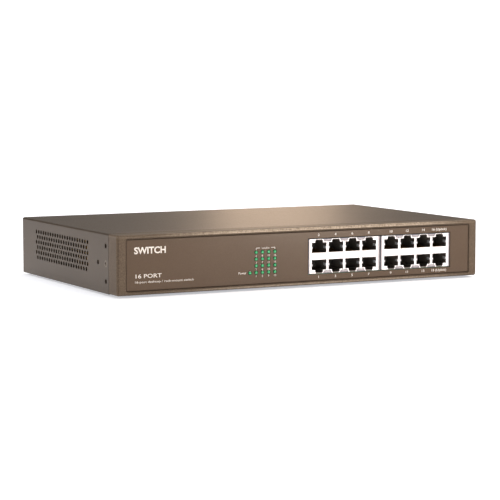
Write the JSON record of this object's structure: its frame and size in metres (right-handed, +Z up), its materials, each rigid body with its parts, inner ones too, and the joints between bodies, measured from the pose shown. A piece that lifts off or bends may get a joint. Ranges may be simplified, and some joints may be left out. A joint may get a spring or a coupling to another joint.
{
  "type": "desktop network switch",
  "caption": "Folded steel desktop network switch with wrapped front bezel, stacked shielded jacks with sprung contacts, green port lamps, vented sides and a mains inlet.",
  "frame": {"origin": "on the surface that the feet stand on, under the middle of the case", "axes": "+X to the right seen from the front, +Y towards the rear, +Z up"},
  "size_m": [0.294, 0.1788, 0.0435],
  "materials": {
    "case_steel": "fine textured powder coat, grey-brown",
    "bezel_paint": "coarse metallic texture coat, grey-brown",
    "front_film": "printed polycarbonate film, satin",
    "plated_steel": "bright tin-plated sheet",
    "screw_steel": "zinc-plated",
    "black_plastic": "moulded, satin",
    "gold_wire": "gold-plated spring wire",
    "lamp_green": "clear tinted green epoxy",
    "board_green": "solder-masked laminate",
    "white_plastic": "nylon",
    "chip_black": "moulded epoxy",
    "sink_metal": "extruded, black-edged",
    "can_metal": "sleeved can",
    "rubber_black": "matt",
    "brass_pin": "nickel-plated",
    "core_ferrite": "sintered",
    "yellow_film": "potted box",
    "sheet_amber": "insulating sheet",
    "fuse_glass": "clear tube with plated caps",
    "wire_black": "insulated wire",
    "wire_red": "insulated wire",
    "wire_green": "insulated earth wire",
    "solder": "tinned"
  },
  "bodies": {
    "case": {"base_tray": "case_steel", "top_cover": "case_steel", "front_bezel": "bezel_paint", "front_film": "front_film", "rubber_feet": "rubber_black", "cover_screws": "screw_steel", "rear_cover_screws": "screw_steel", "bezel_rivets": "screw_steel", "jack_shield_left": "plated_steel", "jack_shield_right": "plated_steel", "jack_housing_left": "black_plastic", "jack_housing_right": "black_plastic", "jack_pins": "solder", "port_lamps": "lamp_green", "power_lamp": "lamp_green", "lamp_holder": "black_plastic", "main_board": "board_green", "board_standoffs": "brass_pin", "board_screws": "screw_steel", "switch_chip": "chip_black", "heat_sink": "sink_metal", "lan_transformers": "chip_black", "crystal": "solder", "memory_chip": "chip_black", "board_capacitors": "can_metal", "supply_board": "board_green", "insulating_sheet": "sheet_amber", "fuse": "fuse_glass", "interference_capacitor": "yellow_film", "mains_choke": "core_ferrite", "bulk_capacitor": "can_metal", "supply_transformer": "yellow_film", "supply_heat_sink": "sink_metal", "output_capacitors": "can_metal", "power_headers": "white_plastic", "mains_inlet": "black_plastic", "inlet_blades": "brass_pin", "inlet_screws": "screw_steel", "earth_screw": "screw_steel", "earth_nut": "screw_steel", "harness_plugs": "white_plastic", "harness_wires": "wire_red", "inlet_wires": "wire_black", "earth_wire": "wire_green"},
    "contacts_01": {"contacts_port_01": "gold_wire"},
    "contacts_02": {"contacts_port_02": "gold_wire"},
    "contacts_03": {"contacts_port_03": "gold_wire"},
    "contacts_04": {"contacts_port_04": "gold_wire"},
    "contacts_05": {"contacts_port_05": "gold_wire"},
    "contacts_06": {"contacts_port_06": "gold_wire"},
    "contacts_07": {"contacts_port_07": "gold_wire"},
    "contacts_08": {"contacts_port_08": "gold_wire"},
    "contacts_09": {"contacts_port_09": "gold_wire"},
    "contacts_10": {"contacts_port_10": "gold_wire"},
    "contacts_11": {"contacts_port_11": "gold_wire"},
    "contacts_12": {"contacts_port_12": "gold_wire"},
    "contacts_13": {"contacts_port_13": "gold_wire"},
    "contacts_14": {"contacts_port_14": "gold_wire"},
    "contacts_15": {"contacts_port_15": "gold_wire"},
    "contacts_16": {"contacts_port_16": "gold_wire"}
  },
  "joints": [
    {"name": "contacts_01_bend", "type": "hinge", "parent": "case", "child": "contacts_01", "pos_m": [0.01165, -0.0841, 0.01975], "axis": [1, 0, 0], "range_deg": [0, 8], "stiffness_Nm_per_rad": 0.2, "springref_deg": -2.86},
    {"name": "contacts_02_bend", "type": "hinge", "parent": "case", "child": "contacts_02", "pos_m": [0.01165, -0.0841, 0.02405], "axis": [-1, 0, 0], "range_deg": [0, 8], "stiffness_Nm_per_rad": 0.2, "springref_deg": -2.86},
    {"name": "contacts_03_bend", "type": "hinge", "parent": "case", "child": "contacts_03", "pos_m": [0.02561, -0.0841, 0.01975], "axis": [1, 0, 0], "range_deg": [0, 8], "stiffness_Nm_per_rad": 0.2, "springref_deg": -2.86},
    {"name": "contacts_04_bend", "type": "hinge", "parent": "case", "child": "contacts_04", "pos_m": [0.02561, -0.0841, 0.02405], "axis": [-1, 0, 0], "range_deg": [0, 8], "stiffness_Nm_per_rad": 0.2, "springref_deg": -2.86},
    {"name": "contacts_05_bend", "type": "hinge", "parent": "case", "child": "contacts_05", "pos_m": [0.03959, -0.0841, 0.01975], "axis": [1, 0, 0], "range_deg": [0, 8], "stiffness_Nm_per_rad": 0.2, "springref_deg": -2.86},
    {"name": "contacts_06_bend", "type": "hinge", "parent": "case", "child": "contacts_06", "pos_m": [0.03959, -0.0841, 0.02405], "axis": [-1, 0, 0], "range_deg": [0, 8], "stiffness_Nm_per_rad": 0.2, "springref_deg": -2.86},
    {"name": "contacts_07_bend", "type": "hinge", "parent": "case", "child": "contacts_07", "pos_m": [0.05355, -0.0841, 0.01975], "axis": [1, 0, 0], "range_deg": [0, 8], "stiffness_Nm_per_rad": 0.2, "springref_deg": -2.86},
    {"name": "contacts_08_bend", "type": "hinge", "parent": "case", "child": "contacts_08", "pos_m": [0.05355, -0.0841, 0.02405], "axis": [-1, 0, 0], "range_deg": [0, 8], "stiffness_Nm_per_rad": 0.2, "springref_deg": -2.86},
    {"name": "contacts_09_bend", "type": "hinge", "parent": "case", "child": "contacts_09", "pos_m": [0.0725, -0.0841, 0.01975], "axis": [1, 0, 0], "range_deg": [0, 8], "stiffness_Nm_per_rad": 0.2, "springref_deg": -2.86},
    {"name": "contacts_10_bend", "type": "hinge", "parent": "case", "child": "contacts_10", "pos_m": [0.0725, -0.0841, 0.02405], "axis": [-1, 0, 0], "range_deg": [0, 8], "stiffness_Nm_per_rad": 0.2, "springref_deg": -2.86},
    {"name": "contacts_11_bend", "type": "hinge", "parent": "case", "child": "contacts_11", "pos_m": [0.08647, -0.0841, 0.01975], "axis": [1, 0, 0], "range_deg": [0, 8], "stiffness_Nm_per_rad": 0.2, "springref_deg": -2.86},
    {"name": "contacts_12_bend", "type": "hinge", "parent": "case", "child": "contacts_12", "pos_m": [0.08647, -0.0841, 0.02405], "axis": [-1, 0, 0], "range_deg": [0, 8], "stiffness_Nm_per_rad": 0.2, "springref_deg": -2.86},
    {"name": "contacts_13_bend", "type": "hinge", "parent": "case", "child": "contacts_13", "pos_m": [0.10043, -0.0841, 0.01975], "axis": [1, 0, 0], "range_deg": [0, 8], "stiffness_Nm_per_rad": 0.2, "springref_deg": -2.86},
    {"name": "contacts_14_bend", "type": "hinge", "parent": "case", "child": "contacts_14", "pos_m": [0.10043, -0.0841, 0.02405], "axis": [-1, 0, 0], "range_deg": [0, 8], "stiffness_Nm_per_rad": 0.2, "springref_deg": -2.86},
    {"name": "contacts_15_bend", "type": "hinge", "parent": "case", "child": "contacts_15", "pos_m": [0.11441, -0.0841, 0.01975], "axis": [1, 0, 0], "range_deg": [0, 8], "stiffness_Nm_per_rad": 0.2, "springref_deg": -2.86},
    {"name": "contacts_16_bend", "type": "hinge", "parent": "case", "child": "contacts_16", "pos_m": [0.11441, -0.0841, 0.02405], "axis": [-1, 0, 0], "range_deg": [0, 8], "stiffness_Nm_per_rad": 0.2, "springref_deg": -2.86}
  ]
}
